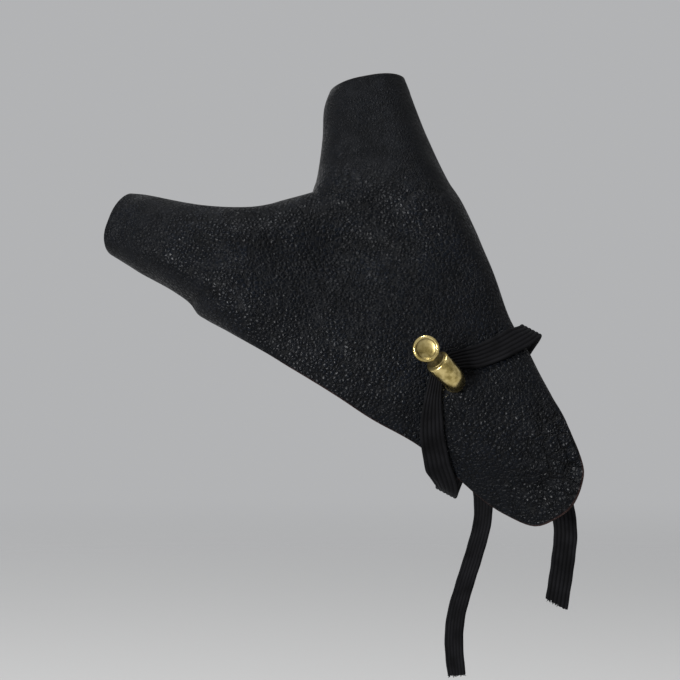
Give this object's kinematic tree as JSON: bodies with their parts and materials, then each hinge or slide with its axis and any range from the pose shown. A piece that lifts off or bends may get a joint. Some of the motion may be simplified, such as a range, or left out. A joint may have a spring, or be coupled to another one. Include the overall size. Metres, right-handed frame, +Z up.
{
  "type": "archery glove",
  "caption": "Leather archery glove for the bow hand: index stall, thumb stall and back with a wrist tongue, held on by a flat elastic hooked on a brass stud.",
  "frame": {"origin": "centre of the wrist hollow, level with the middle of the wrist elastic", "axes": "+Z up in the worn pose, -Y toward the viewer of the back of the hand, -X toward the index finger"},
  "size_m": [0.1588, 0.0706, 0.2027],
  "materials": {
    "leather": "pebbled grain, semi-matte",
    "brass": "polished, tarnished in the hollows",
    "elastic": "ribbed braid, matte"
  },
  "bodies": {
    "root": {"back_panel": "leather", "palm_panel": "leather", "hook_stud": "brass", "stud_washer": "brass", "wrist_elastic": "elastic", "elastic_knot": "elastic", "elastic_long_end": "elastic", "elastic_short_end": "elastic"}
  },
  "joints": []
}
